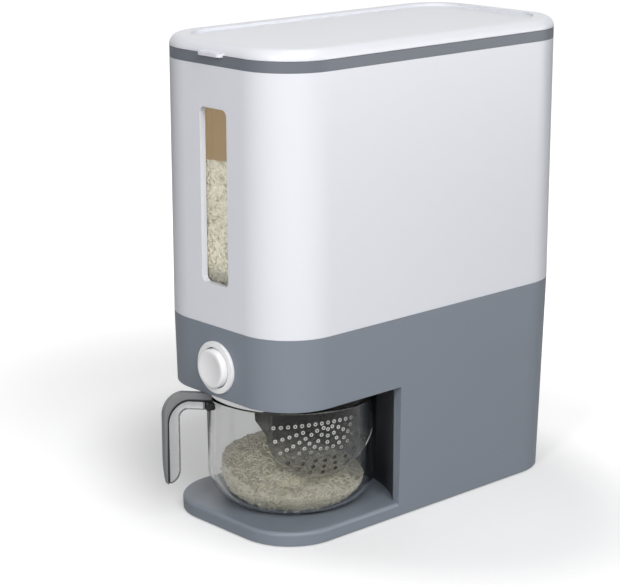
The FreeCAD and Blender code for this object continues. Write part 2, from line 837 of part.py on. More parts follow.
def make_strainer_panel():
    """A round dish across the cup, cut off level under the rim and held between the cup's walls."""
    top = cup_bottom + cup_height - strainer_top_drop
    inside = cup_revolve(cup_wall + fit_gap, cup_bottom + cup_wall + fit_gap, top)
    start = strainer_distance - strainer_thickness
    slab = box(start, strainer_distance, -cup_rim_radius, cup_rim_radius, cup_bottom, top)
    panel = slab.common(inside).common(strainer_outline(top))
    dome = dish_cap(0).common(inside)
    body = joined([panel, dome]).cut(dish_cap(strainer_thickness))
    return set_cup_place(body.cut(strainer_holes()))


def handle_plate(points, width):
    """A band in the handle's upright plane: (reach from the cup's axis, height) points, with arcs
    where three points come as a tuple."""
    edges = []
    first = None
    last = None
    for item in points:
        run = [Vector(0, -reach, height) for reach, height in (item if isinstance(item[0], tuple) else (item,))]
        if last is not None:
            edges.append(Part.makeLine(last, run[0]))
        else:
            first = run[0]
        if len(run) == 3:
            edges.append(Part.Arc(*run).toShape())
        last = run[-1]
    edges.append(Part.makeLine(last, first))
    face = Part.Face(Part.Wire(edges))
    face.translate(Vector(-width / 2, 0, 0))
    return face.extrude(Vector(width, 0, 0))


def corner_arc(reach, height, radius):
    """Three points of a quarter turn from level at height to upright at reach."""
    middle = radius * (1 - math.sqrt(0.5))
    return ((reach - radius, height), (reach - middle, height - middle), (reach, height - radius))


def strap_inner_reach():
    return handle_reach - strap_thickness


def strap_underside():
    return cup_bottom + handle_top - strap_top_thickness


def arm_height(reach, corner_start, height):
    """The arm falls evenly from its corner towards the cup."""
    return height - arm_slope * (corner_start - reach)


def core_top_at(reach):
    return arm_height(reach, strap_inner_reach() - strap_corner, strap_underside()) - core_gap


def core_under_at(reach):
    inner = strap_inner_reach() - core_gap - core_thickness
    return arm_height(reach, inner - core_corner, strap_underside() - core_gap - core_top_thickness)


def core_root():
    return cup_wall_radius + core_gap / 2 + clip_block_reach


def make_handle_strap():
    top = cup_bottom + handle_top
    tip = cup_bottom + strap_tip_height
    under = strap_underside()
    inner = strap_inner_reach()
    outline = [
        (strap_root, arm_height(strap_root, inner - strap_corner, under)),
        (strap_root, arm_height(strap_root, handle_reach - strap_corner, top)),
        corner_arc(handle_reach, top, strap_corner),
        (handle_reach, tip + 2 * core_tip_rise), (handle_reach - strap_tip_inset / 4, tip + core_tip_rise),
        (handle_reach - strap_tip_inset, tip), (inner, tip + strap_thickness / 4),
        tuple(reversed(corner_arc(inner, under, strap_corner))),
    ]
    return set_cup_place(handle_plate(outline, strap_width))


def make_handle_core():
    outer = strap_inner_reach() - core_gap
    inner = outer - core_thickness
    tip = cup_bottom + strap_tip_height
    root = core_root()
    outline = [
        (root, core_under_at(root)), (root, core_top_at(root)),
        corner_arc(outer, strap_underside() - core_gap, strap_corner),
        ((outer, tip), (inner + core_tip_bulge, tip + core_tip_bulge), (inner, tip + core_tip_rise)),
        tuple(reversed(corner_arc(inner, core_under_at(inner - core_corner), core_corner))),
    ]
    return set_cup_place(handle_plate(outline, core_width))


def make_handle_clip():
    """A block that hooks under the cup's rim and holds both layers of the handle."""
    root = cup_wall_radius + core_gap / 2
    outside_rim = cup_rim_radius + core_gap / 2
    under_rim = cup_bottom + cup_height - cup_rim_height - core_gap / 2
    end = core_root() - core_gap / 2
    bottom = core_under_at(root) - clip_block_margin
    outline = [
        (root, bottom), (root, under_rim), (outside_rim, under_rim), (outside_rim, core_top_at(outside_rim)),
        (end, core_top_at(end)), (end, bottom),
    ]
    return set_cup_place(handle_plate(outline, clip_block_width))


# ---- the whole -----------------------------------------------------------------------------------

def build_all():
    return {
        "base_housing": make_base_housing(),
        "bay_liner": make_bay_liner(),
        "bay_ceiling": make_bay_ceiling(),
        "base_plate": make_base_plate(),
        "rubber_feet": make_rubber_feet(),
        "base_screws": make_base_screws(),
        "upper_housing": make_upper_housing(),
        "window_pane": make_window_pane(),
        "collar_ring": make_collar_ring(),
        "lid": make_lid(),
        "lid_seal": make_lid_seal(),
        "hinge_pin": make_hinge_pin(),
        "hopper_funnel": make_hopper_funnel(),
        "chute": make_chute(),
        "gate_frame": make_gate_frame(),
        "gate_plate": make_gate_plate(),
        "mechanism_screws": make_mechanism_screws(),
        "button_bezel": make_button_bezel(),
        "button_cap": make_button_cap(),
        "button_stem": make_button_stem(),
        "retaining_clip": make_retaining_clip(),
        "stem_guide": make_stem_guide(),
        "return_spring": make_return_spring(),
        "cup_bowl": make_cup_bowl(),
        "strainer_panel": make_strainer_panel(),
        "handle_strap": make_handle_strap(),
        "handle_core": make_handle_core(),
        "handle_clip": make_handle_clip(),
    }


def move_to_origin(parts):
    """Puts the origin under the middle of the whole object, on the plane that it stands on."""
    whole = Part.makeCompound(list(parts.values())).BoundBox
    shift = Vector(-whole.Center.x, -whole.Center.y, -whole.ZMin)
    for shape in parts.values():
        shape.translate(shift)
    return shift


os.makedirs("parts", exist_ok=True)
all_parts = build_all()
origin_shift = move_to_origin(all_parts)
print("origin shift", [round(value, 4) for value in origin_shift])
for node, shape in all_parts.items():
    print(node, len(shape.Solids), round(shape.Volume, 1), shape.isValid())
    shape.exportStep("parts/" + node + ".step")
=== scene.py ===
import math
import random

import bmesh
import bpy
from mathutils import Matrix, Vector
from mathutils.noise import noise


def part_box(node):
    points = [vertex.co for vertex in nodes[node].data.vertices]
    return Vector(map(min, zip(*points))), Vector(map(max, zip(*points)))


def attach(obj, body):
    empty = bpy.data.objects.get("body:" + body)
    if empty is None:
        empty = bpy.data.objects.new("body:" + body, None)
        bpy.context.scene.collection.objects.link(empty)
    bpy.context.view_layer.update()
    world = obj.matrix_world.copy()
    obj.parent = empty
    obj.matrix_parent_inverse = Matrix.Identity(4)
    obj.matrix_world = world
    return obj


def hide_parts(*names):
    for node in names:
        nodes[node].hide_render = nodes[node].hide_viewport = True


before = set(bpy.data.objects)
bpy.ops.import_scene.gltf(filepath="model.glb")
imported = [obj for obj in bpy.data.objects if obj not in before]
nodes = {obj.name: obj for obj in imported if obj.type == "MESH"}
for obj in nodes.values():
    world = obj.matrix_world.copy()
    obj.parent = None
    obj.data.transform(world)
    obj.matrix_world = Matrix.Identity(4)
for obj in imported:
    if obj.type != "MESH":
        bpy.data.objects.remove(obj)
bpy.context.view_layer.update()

MM = 0.001
scene = bpy.context.scene


# ---- Camera: a long lens in front of the right corner, a little above the lid --------------------
# It looks down by 15 degrees. The small shifts, in pixels, centre the picture on the housing.
housing_low, housing_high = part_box("upper_housing")
housing_middle = Vector((0, (housing_low[1] + housing_high[1]) / 2, 0))
camera_place = housing_middle + Vector((1127.19, -1092.47, 590.24)) * MM
camera_turn = 47.129
camera_pitch = 14.933
focal_pixels = 1974.25
picture_width = 620
shift_right = -15.28
shift_up = -7.53
sensor_width = 36.0

camera_data = bpy.data.cameras.new("camera")
camera_data.sensor_width = sensor_width
camera_data.lens = focal_pixels / picture_width * sensor_width
camera_data.shift_x = shift_right / picture_width
camera_data.shift_y = shift_up / picture_width
camera = bpy.data.objects.new("camera", camera_data)
camera.location = camera_place
camera.rotation_euler = (math.radians(90 - camera_pitch), 0, math.radians(camera_turn))
scene.collection.objects.link(camera)
scene.camera = camera


# ---- Floor: one wide, plain, pale sheet ----------------------------------------------------------
# It takes the object's soft shadow. To the eye it has a painted glow, weak near the object, where it
# leaves a painted shade, and brighter away from it, so that it runs into the pale room without an edge.
def new_material(name):
    """A new material, its node tree and its Principled shader."""
    material = bpy.data.materials.new(name)
    material.use_nodes = True
    tree = material.node_tree
    return material, tree, tree.nodes["Principled BSDF"]


def add_node(tree, kind, place, **values):
    """A node at place. Each value goes to the input of that name, or else to the node's setting."""
    node = tree.nodes.new(kind)
    node.location = place
    for name, value in values.items():
        if name in node.inputs:
            node.inputs[name].default_value = value
        else:
            setattr(node, name, value)
    return node


def join(start, output, end, entry):
    """Feeds one node's output into another node's input, in the tree that holds both."""
    start.id_data.links.new(start.outputs[output], end.inputs[entry])


def add_ramp(tree, place, *stops):
    """A colour ramp. Each stop is a position along it and a colour."""
    ramp = add_node(tree, "ShaderNodeValToRGB", place)
    elements = ramp.color_ramp.elements
    for position, colour in stops[1:-1]:
        elements.new(position)
    for element, (position, colour) in zip(elements, stops):
        element.position = position
        element.color = (*colour, 1)
    return ramp


def vector_steps(tree, place, *steps):
    """Vector nodes in a row, from the point on the piece. A step is an operation and its value."""
    start = add_node(tree, "ShaderNodeTexCoord", place)
    output = "Object"
    for operation, *value in steps:
        place = (place[0] + 200, place[1])
        node = add_node(tree, "ShaderNodeVectorMath", place, operation=operation)
        if value:
            node.inputs[1].default_value = value[0]
        join(start, output, node, 0)
        start = node
        output = 0
    return start


def seen_by(tree, place, *rays):
    """A mask that is 1 where a ray of any of these kinds arrives."""
    light_path = add_node(tree, "ShaderNodeLightPath", place)
    mask = light_path
    output = rays[0]
    for ray in rays[1:]:
        place = (place[0] + 200, place[1])
        either = add_node(tree, "ShaderNodeMath", place, operation="MAXIMUM")
        join(mask, output, either, 0)
        join(light_path, ray, either, 1)
        mask = either
        output = 0
    return mask


def mesh_piece(name, shape):
    """An object in the scene, from a mesh or from a bmesh, which is used up."""
    mesh = shape
    if isinstance(shape, bmesh.types.BMesh):
        mesh = bpy.data.meshes.new(name)
        shape.to_mesh(mesh)
        shape.free()
    piece = bpy.data.objects.new(name, mesh)
    scene.collection.objects.link(piece)
    return piece


# The floor's painted glow is given as (distance from its middle, strength). It is weak near the object,
# a painted shade round it.
floor_half = 4.0
floor_colour = (0.66, 0.66, 0.665, 1)
floor_painted_glow = ((0.19, 0.27), (0.34, 0.56), (0.80, 0.95))
painted_shade_middle = (0.0, 0.02, 0)
painted_shade_stretch = (1.0, 1.5, 1.0)
floor_mesh = bmesh.new()
bmesh.ops.create_grid(floor_mesh, x_segments=1, y_segments=1, size=floor_half)
floor = mesh_piece("floor", floor_mesh)

floor_finish, tree, shader = new_material("pale_floor")
shader.inputs["Roughness"].default_value = 0.9
shader.inputs["Base Color"].default_value = floor_colour
shader.inputs["Emission Color"].default_value = (1, 1, 1, 1)
from_middle = vector_steps(tree, (-1400, -400), ("SUBTRACT", painted_shade_middle),
                           ("MULTIPLY", painted_shade_stretch), ("LENGTH",))
glow = add_ramp(tree, (-600, -400), *[(away, (level, level, level)) for away, level in floor_painted_glow])
glow.color_ramp.interpolation = "EASE"
seen = seen_by(tree, (-600, -100), "Is Camera Ray", "Is Transmission Ray")
lift = add_node(tree, "ShaderNodeMath", (-200, -200), operation="MULTIPLY")
join(from_middle, "Value", glow, "Fac")
join(seen, 0, lift, 0)
join(glow, "Color", lift, 1)
join(lift, 0, shader, "Emission Strength")
floor.data.materials.append(floor_finish)


# ---- Light: four large soft panels and a pale room -----------------------------------------------
# The key stands on the right, a tall panel faces the near corner, one hangs overhead, and a low one
# adds sheen only. The room looks white, also in gloss and through clear plastic, but lights little.
def area_light(name, place, target, size, power):
    """A soft rectangular panel at place that faces the target."""
    data = bpy.data.lights.new(name, "AREA")
    data.shape = "RECTANGLE"
    data.size, data.size_y = size
    data.energy = power
    lamp = bpy.data.objects.new(name, data)
    lamp.location = place
    lamp.rotation_euler = (Vector(target) - Vector(place)).to_track_quat("-Z", "Y").to_euler()
    scene.collection.objects.link(lamp)
    return lamp


def add_range(tree, place, **ends):
    """A Map Range node. Its ends are from_min, from_max, to_min and to_max."""
    node = add_node(tree, "ShaderNodeMapRange", place)
    for end, value in ends.items():
        node.inputs[end.replace("_", " ").title()].default_value = value
    return node


object_middle = (0, 0, 0.19)
base_middle = (0, 0, 0.15)
area_light("key_panel", (1.6, -0.7, 1.5), object_middle, size=(1.2, 1.2), power=31)
area_light("corner_panel", (0.8, -1.9, 1.05), object_middle, size=(0.35, 1.0), power=15.5)
area_light("top_panel", (0.2, 0.3, 2.2), object_middle, size=(1.0, 1.0), power=9)
sheen_panel = area_light("sheen_panel", (1.5, 1.45, 0.45), base_middle, size=(1.6, 1.1), power=14)
sheen_panel.visible_diffuse = False

room_light = 0.055
room_seen = 1.0
room = bpy.data.worlds.new("room")
room.use_nodes = True
scene.world = room
tree = room.node_tree
background = tree.nodes["Background"]
background.inputs["Color"].default_value = (1, 1, 1, 1)
seen = seen_by(tree, (-800, 0), "Is Camera Ray", "Is Glossy Ray", "Is Transmission Ray")
strength = add_range(tree, (-200, 0), to_min=room_light, to_max=room_seen)
join(seen, 0, strength, "Value")
join(strength, "Result", background, "Strength")
scene.view_settings.view_transform = "Standard"


# ---- Base: the grey housing round the open bay, its lining in painted shade and the cover below ---
# Injection-moulded ABS with a satin skin. Each opaque moulded piece has the faint mottling and the
# fine grain that a mould leaves, and edges that are broken by about half a millimetre.
def on_piece(tree, kind, place, **values):
    """A node whose vector is the point on the piece."""
    point = add_node(tree, "ShaderNodeTexCoord", (place[0] - 200, place[1]))
    node = add_node(tree, kind, place, **values)
    join(point, "Object", node, "Vector")
    return node


def moulded_grain_group():
    """Cloudy tone and fine grain: colour, roughness and normal vary a little over the surface."""
    group = bpy.data.node_groups.new("moulded_grain", "ShaderNodeTree")
    inputs = (("Colour", "Color"), ("Tone", "Float"), ("Roughness", "Float"),
              ("Grain Scale", "Float"), ("Grain Depth", "Float"), ("Normal", "Vector"))
    outputs = (("Colour", "Color"), ("Roughness", "Float"), ("Normal", "Vector"))
    for side, sockets in (("INPUT", inputs), ("OUTPUT", outputs)):
        for name, kind in sockets:
            group.interface.new_socket(name=name, in_out=side, socket_type="NodeSocket" + kind)
    ins = add_node(group, "NodeGroupInput", (-900, 0))
    outs = add_node(group, "NodeGroupOutput", (500, 0))

    clouds = on_piece(group, "ShaderNodeTexNoise", (-600, 200), Scale=9.0, Detail=2.0)
    tone = add_node(group, "ShaderNodeMapRange", (-350, 200))
    join(clouds, "Fac", tone, "Value")
    for operation, end, height in (("SUBTRACT", "To Min", 450), ("ADD", "To Max", 600)):
        level = add_node(group, "ShaderNodeMath", (-600, height), operation=operation)
        level.inputs[0].default_value = 1.0
        join(ins, "Tone", level, 1)
        join(level, 0, tone, end)
    shade = add_node(group, "ShaderNodeVectorMath", (0, 200), operation="SCALE")
    join(ins, "Colour", shade, 0)
    join(tone, "Result", shade, "Scale")
    join(shade, "Vector", outs, "Colour")
    patchy = add_node(group, "ShaderNodeMath", (0, 0), operation="MULTIPLY")
    join(ins, "Roughness", patchy, 0)
    join(tone, "Result", patchy, 1)
    join(patchy, 0, outs, "Roughness")

    fine = on_piece(group, "ShaderNodeTexNoise", (-600, -300), Detail=3.0, Roughness=0.6)
    bump = add_node(group, "ShaderNodeBump", (200, -300), Strength=0.25)
    join(ins, "Grain Scale", fine, "Scale")
    join(ins, "Grain Depth", bump, "Distance")
    join(fine, "Fac", bump, "Height")
    join(ins, "Normal", bump, "Normal")
    join(bump, "Normal", outs, "Normal")
    return group


moulded_grain = moulded_grain_group()


def moulded_plastic(name, colour, roughness, tone=0.02, grain_scale=900.0, grain_depth=0.1 * MM,
                    edge=0.6 * MM):
    """Opaque moulded plastic. Tone is how far its colour varies, and edge how far edges are broken."""
    material, tree, shader = new_material(name)
    grain = add_node(tree, "ShaderNodeGroup", (-350, 0), node_tree=moulded_grain)
    grain.inputs["Colour"].default_value = (*colour, 1)
    grain.inputs["Tone"].default_value = tone
    grain.inputs["Roughness"].default_value = roughness
    grain.inputs["Grain Scale"].default_value = grain_scale
    grain.inputs["Grain Depth"].default_value = grain_depth
    join(grain, "Colour", shader, "Base Color")
    join(grain, "Roughness", shader, "Roughness")
    join(grain, "Normal", shader, "Normal")
    shader.inputs["IOR"].default_value = 1.5
    if edge > 0:
        soft_edge = add_node(tree, "ShaderNodeBevel", (-600, -300), Radius=edge)
        soft_edge.samples = 4
        join(soft_edge, "Normal", grain, "Normal")
    return material


def dress(finish, *names):
    """Gives pieces of the construction their finish."""
    for name in names:
        slots = nodes[name].data.materials
        if len(slots) == 0:
            slots.append(finish)
        for i in range(len(slots)):
            slots[i] = finish


grey_shell = moulded_plastic("grey_shell", (0.206, 0.234, 0.275), roughness=0.42)
# Painted shade: the bay's lining and ceiling are the same grey plastic as the housing, coloured near
# black for the shade in the bay.
bay_painted_shade = moulded_plastic("bay_painted_shade", (0.036, 0.041, 0.049), roughness=0.6)
dress(grey_shell, "base_housing", "base_plate")
dress(bay_painted_shade, "bay_liner", "bay_ceiling")


# ---- Feet and fasteners: four round feet, the screws, the hinge's pin and the stem's clip --------
# The feet are soft black rubber under the cover. The rest is turned steel, which keeps fine rings
# of tone and roughness from the tool.
def brushed_steel(name):
    """Turned steel: fine rings of tone and roughness along the piece."""
    material, tree, shader = new_material(name)
    stretch = on_piece(tree, "ShaderNodeMapping", (-800, 0), Scale=(400.0, 4000.0, 400.0))
    rings = add_node(tree, "ShaderNodeTexNoise", (-600, 0), Scale=1.0, Detail=3.0)
    tone = add_ramp(tree, (-350, 100), (0, (0.36, 0.36, 0.37)), (1, (0.62, 0.62, 0.63)))
    rough = add_range(tree, (-350, -200), to_min=0.22, to_max=0.42)
    join(stretch, "Vector", rings, "Vector")
    join(rings, "Fac", tone, "Fac")
    join(rings, "Fac", rough, "Value")
    join(tone, "Color", shader, "Base Color")
    join(rough, "Result", shader, "Roughness")
    shader.inputs["Metallic"].default_value = 1.0
    return material


rubber = moulded_plastic("rubber", (0.03, 0.03, 0.03), roughness=0.8, tone=0.05, grain_scale=400.0,
                         grain_depth=0.3 * MM)
steel = brushed_steel("steel")
dress(rubber, "rubber_feet")
dress(steel, "base_screws", "mechanism_screws", "hinge_pin", "retaining_clip")


# ---- Upper housing and lid: the white hopper wall, the grey collar, the lid and its seal ---------
# Glossy white ABS with a finer grain, a satin grey collar and a soft silicone seal. Light that passes
# the thin white wall is painted on its inner faces, as seen through the window: a tan colour and a
# painted glow.
wall_inset = 1.4 * MM
corner_round = 45.0 * MM
inside_top = housing_high[2] + 2 * MM
reveal_back = housing_low[1] + 5.45 * MM
corner_centre = ((housing_high[0] - housing_low[0]) / 2 - corner_round,
                 (housing_high[1] - housing_low[1]) / 2 - corner_round, 1.0)
painted_light_tan = (0.52, 0.385, 0.22, 1)
painted_wall_glow = 0.35

# The colour sockets of a Mix node go by number, because each of its names comes several times.
mix_share = 0
mix_first = 6
mix_second = 7
mix_result = 2


def number_step(start, output, operation, value, place):
    """A Math node on one output and one fixed value."""
    node = add_node(start.id_data, "ShaderNodeMath", place, operation=operation)
    node.inputs[1].default_value = value
    join(start, output, node, 0)
    return node


def both(first, second, place):
    """A mask that is 1 where two masks are."""
    node = add_node(first.id_data, "ShaderNodeMath", place, operation="MULTIPLY")
    join(first, 0, node, 0)
    join(second, 0, node, 1)
    return node


white_shell = moulded_plastic("white_shell", (0.77, 0.783, 0.83), roughness=0.28, tone=0.008,
                              grain_depth=0.04 * MM)
collar_grey = moulded_plastic("collar_grey", (0.145, 0.161, 0.188), roughness=0.42)
silicone = moulded_plastic("silicone", (0.6, 0.6, 0.6), roughness=0.6)
dress(white_shell, "upper_housing", "lid")
dress(collar_grey, "collar_ring")
dress(silicone, "lid_seal")

# Painted light: inside the hopper, behind the window, the white wall turns tan and glows a little, for
# the light that comes through the thin wall.
tree = white_shell.node_tree
shader = tree.nodes["Principled BSDF"]
grain = next(node for node in tree.nodes if node.type == "GROUP")
from_corner = vector_steps(tree, (-1700, 400), ("SUBTRACT", housing_middle), ("ABSOLUTE",),
                           ("SUBTRACT", corner_centre), ("MAXIMUM", (0, 0, 0)), ("LENGTH",))
axes = on_piece(tree, "ShaderNodeSeparateXYZ", (-1000, 700))
within = number_step(from_corner, "Value", "LESS_THAN", corner_round - wall_inset, (-500, 400))
below_top = number_step(axes, "Z", "LESS_THAN", inside_top, (-700, 650))
behind_reveal = number_step(axes, "Y", "GREATER_THAN", reveal_back, (-700, 800))
inside = both(within, both(below_top, behind_reveal, (-500, 700)), (-300, 500))
painted_warm_light = add_node(tree, "ShaderNodeMix", (-100, 300), data_type="RGBA")
painted_warm_light.inputs[mix_second].default_value = painted_light_tan
join(inside, 0, painted_warm_light, mix_share)
join(grain, "Colour", painted_warm_light, mix_first)
join(painted_warm_light, mix_result, shader, "Base Color")
glow = number_step(inside, 0, "MULTIPLY", painted_wall_glow, (-100, 100))
join(glow, 0, shader, "Emission Strength")
shader.inputs["Emission Color"].default_value = painted_light_tan


# ---- Window: a clear pane behind the slim opening in the front wall ------------------------------
# Clear moulded plastic. The flow of the melt leaves faint marks that shift its gloss and bend the
# light a little.
def clear_moulding(name, colour, transmission, smooth, rough, reflects=1.0):
    """Transparent moulded plastic. Smooth and rough are the ends of its roughness."""
    material, tree, shader = new_material(name)
    flow = on_piece(tree, "ShaderNodeTexNoise", (-700, 0), Scale=28.0, Detail=2.0)
    gloss = add_range(tree, (-450, 0), to_min=smooth, to_max=rough)
    waves = add_node(tree, "ShaderNodeBump", (-450, -300), Strength=0.3, Distance=0.2 * MM)
    join(flow, "Fac", gloss, "Value")
    join(flow, "Fac", waves, "Height")
    join(gloss, "Result", shader, "Roughness")
    join(waves, "Normal", shader, "Normal")
    shader.inputs["Base Color"].default_value = (*colour, 1)
    shader.inputs["Transmission Weight"].default_value = transmission
    shader.inputs["IOR"].default_value = 1.45
    shader.inputs["Specular Tint"].default_value = (reflects, reflects, reflects, 1)
    return material


window_clear = clear_moulding("window_clear", (0.955, 0.96, 0.955), transmission=1.0, smooth=0.01,
                              rough=0.03, reflects=0.5)
dress(window_clear, "window_pane")


# ---- Button: a dished white cap in its round bezel -----------------------------------------------
# White ABS, whiter and glossier than the shell. The bezel is fixed, and the cap slides in it.
button_white = moulded_plastic("button_white", (0.88, 0.88, 0.89), roughness=0.25, tone=0.008,
                               grain_depth=0.04 * MM)
dress(button_white, "button_bezel", "button_cap")


# ---- Mechanism: the hopper's funnel, the gate in its frame, the chute and the button's stem ------
# Plain cream plastic, left as it comes from the mould because the housing hides it. Screws hold the
# frame and the guide to the bay's ceiling.
inner_plastic = moulded_plastic("inner_plastic", (0.62, 0.60, 0.55), roughness=0.5)
dress(inner_plastic, "hopper_funnel", "gate_frame", "gate_plate", "chute", "button_stem",
      "stem_guide")


# ---- Cup: a clear moulded bowl with a thick rim, turned a little in its bay ----------------------
# Clear plastic with a wall 2 mm thick, moulded in one piece. The belly rounds up from a flat foot
# into the nearly upright wall.
on_axis = 0.001 * MM
lathe_steps = 160
sharp_angle = 25.0


def lathe(name, profile, centre):
    """A turned piece: profile holds (radius, height) points from the axis outwards and back."""
    mesh = bmesh.new()
    rings = []
    for radius, height in profile:
        if radius < on_axis:
            rings.append([mesh.verts.new((centre.x, centre.y, centre.z + height))])
            continue
        ring = []
        for step in range(lathe_steps):
            angle = 2 * math.pi * step / lathe_steps
            ring.append(mesh.verts.new((centre.x + radius * math.cos(angle),
                                        centre.y + radius * math.sin(angle), centre.z + height)))
        rings.append(ring)
    for inner, outer in zip(rings, rings[1:]):
        for i in range(lathe_steps):
            j = (i + 1) % lathe_steps
            if len(inner) == 1:
                mesh.faces.new((inner[0], outer[i], outer[j]))
            elif len(outer) == 1:
                mesh.faces.new((inner[i], outer[0], inner[j]))
            else:
                mesh.faces.new((inner[i], outer[i], outer[j], inner[j]))
    bmesh.ops.recalc_face_normals(mesh, faces=mesh.faces)
    for face in mesh.faces:
        face.smooth = True
    piece = mesh_piece(name, mesh)
    piece.data.set_sharp_from_angle(angle=math.radians(sharp_angle))
    return piece


def circle_through(first, second, third):
    """The centre and radius of the circle through three points of a profile."""
    ax, ay = first
    bx, by = second
    cx, cy = third
    twice = 2 * (ax * (by - cy) + bx * (cy - ay) + cx * (ay - by))
    a = ax * ax + ay * ay
    b = bx * bx + by * by
    c = cx * cx + cy * cy
    x = (a * (by - cy) + b * (cy - ay) + c * (ay - by)) / twice
    y = (a * (cx - bx) + b * (ax - cx) + c * (bx - ax)) / twice
    return x, y, math.hypot(ax - x, ay - y)


def round_turn(centre, radius, start, end, count):
    """Points on an arc in the profile's plane, angles in degrees."""
    points = []
    for step in range(count + 1):
        angle = math.radians(start + (end - start) * step / count)
        points.append((centre[0] + radius * math.cos(angle), centre[1] + radius * math.sin(angle)))
    return points


def paint_edge_shade(material, edge_shade_colour, blend):
    """Painted shade: the colour of thick clear plastic darkens where its surface is seen on edge."""
    tree = material.node_tree
    shader = tree.nodes["Principled BSDF"]
    rim = add_node(tree, "ShaderNodeLayerWeight", (-700, 400), Blend=blend)
    mix = add_node(tree, "ShaderNodeMix", (-400, 400), data_type="RGBA")
    mix.inputs[mix_first].default_value = tuple(shader.inputs["Base Color"].default_value)
    mix.inputs[mix_second].default_value = (*edge_shade_colour, 1)
    join(rim, "Facing", mix, mix_share)
    join(mix, mix_result, shader, "Base Color")


cup_low, cup_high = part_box("cup_bowl")
cup_axis = Vector(((cup_low[0] + cup_high[0]) / 2, (cup_low[1] + cup_high[1]) / 2, cup_low[2]))
cup_turn = math.radians(-14.5)
cup_height = cup_high[2] - cup_low[2]
cup_wall = 2.0 * MM
cup_rim_radius = 69.8 * MM
cup_wall_radius = 68.8 * MM
cup_shoulder_radius = 67.6 * MM
cup_shoulder_height = 27.0 * MM
cup_belly_radius = 63.0 * MM
cup_belly_height = 9.7 * MM
cup_foot_radius = 50.0 * MM
cup_foot_flat = 45.0 * MM
rim_band = 2.0 * MM
rim_swell = 0.4 * MM
rim_round = 0.9 * MM
rim_steps = 5
belly_steps = 28
belly_crowding = 1.5
belly_x, belly_z, belly_radius = circle_through(
    (cup_foot_radius, 0), (cup_belly_radius, cup_belly_height),
    (cup_shoulder_radius, cup_shoulder_height))


def belly_curve(inwards, low):
    """Points on the round belly, moved inwards, from height low up to the shoulder."""
    points = []
    for step in range(belly_steps + 1):
        height = low + (cup_shoulder_height - low) * (step / belly_steps) ** belly_crowding
        reach = math.sqrt((belly_radius - inwards) ** 2 - (height - belly_z) ** 2)
        points.append((belly_x + reach, height))
    return points


inner_top = cup_wall_radius - cup_wall
rim_middle = cup_height - rim_round
cup_profile = [(0, 0), (cup_foot_flat, 0)] + belly_curve(0, 0)
cup_profile.append((cup_wall_radius, cup_height - rim_band - rim_swell))
cup_profile.append((cup_rim_radius, cup_height - rim_band))
cup_profile += round_turn((cup_rim_radius - rim_round, rim_middle), rim_round, 0, 90, rim_steps)
cup_profile += round_turn((inner_top + rim_round, rim_middle), rim_round, 90, 180, rim_steps)
cup_profile += list(reversed(belly_curve(cup_wall, cup_wall)))
cup_profile.append((0, cup_wall))

clear_plastic = clear_moulding("clear_plastic", (0.945, 0.95, 0.945), transmission=1.0,
                               smooth=0.01, rough=0.03, reflects=0.25)
paint_edge_shade(clear_plastic, (0.86, 0.865, 0.86), blend=0.30)
cup_bowl = lathe("clear_cup", cup_profile, cup_axis)
cup_bowl.data.materials.append(clear_plastic)
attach(cup_bowl, "cup")
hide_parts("cup_bowl")


# ---- Strainer: a smoky dish across the cup with radial rows of holes -----------------------------
# See-through grey plastic, moulded in one piece. Its tint darkens to near black towards the top edge,
# as painted shade.
# Raised rings round the holes carry a painted highlight, which turns to painted shade towards the back
# and the bottom;
# some holes near the middle have none.
dish_distance = 42.0 * MM
dish_radius = 46.8 * MM
dish_depth = 10.0 * MM
dish_setback = 5.0 * MM
dish_height = 74.0 * MM
dish_sphere = (dish_radius ** 2 + dish_depth ** 2) / (2 * dish_depth)
dish_centre = Vector((dish_distance + dish_depth - dish_sphere, dish_setback, dish_height))
hole_radius = 1.2 * MM
hole_rays = 13
holes_per_ray = 8
hole_pitch = 5.44 * MM
rays_per_lip = (13, 3, 2, 2)
lip_round = 0.42 * MM
lip_steps = 12
lip_sides = 6
dish_shade_starts = 42 * MM
dish_shade_full = 98 * MM
# Where the rings' painted highlight ends and their painted shade is full, back along the cup and down
# in height.
lips_painted_light_y = cup_axis.y + 4 * MM
lips_painted_shade_y = cup_axis.y + 18 * MM
lips_shade_starts_z = 68 * MM
lips_shade_full_z = 56 * MM


def skin(mesh, sections, closed=False):
    """Faces between the neighbouring sections of a tube. Each section is a ring of corners."""
    following = sections[1:] + sections[:1] if closed else sections[1:]
    for here, after in zip(sections, following):
        for k in range(len(here)):
            j = (k + 1) % len(here)
            mesh.faces.new((here[k], here[j], after[j], after[k]))


smoky_plastic = clear_moulding("smoky_plastic", (0.5, 0.5, 0.5), transmission=0.93, smooth=0.03,
                               rough=0.07, reflects=0.2)
# Painted shade: the tint runs from the smoky grey to near black towards the top of the dish.
tree = smoky_plastic.node_tree
axes = on_piece(tree, "ShaderNodeSeparateXYZ", (-900, 400))
share = add_range(tree, (-700, 400), from_min=dish_shade_starts, from_max=dish_shade_full)
smoke_and_painted_shade = add_ramp(tree, (-450, 400), (0, (0.86, 0.85, 0.81)), (0.30, (0.66, 0.66, 0.6336)),
                (0.62, (0.30, 0.30, 0.288)), (1, (0.05, 0.05, 0.046)))
join(axes, "Z", share, "Value")
join(share, "Result", smoke_and_painted_shade, "Fac")
join(smoke_and_painted_shade, "Color", tree.nodes["Principled BSDF"], "Base Color")
dress(smoky_plastic, "strainer_panel")

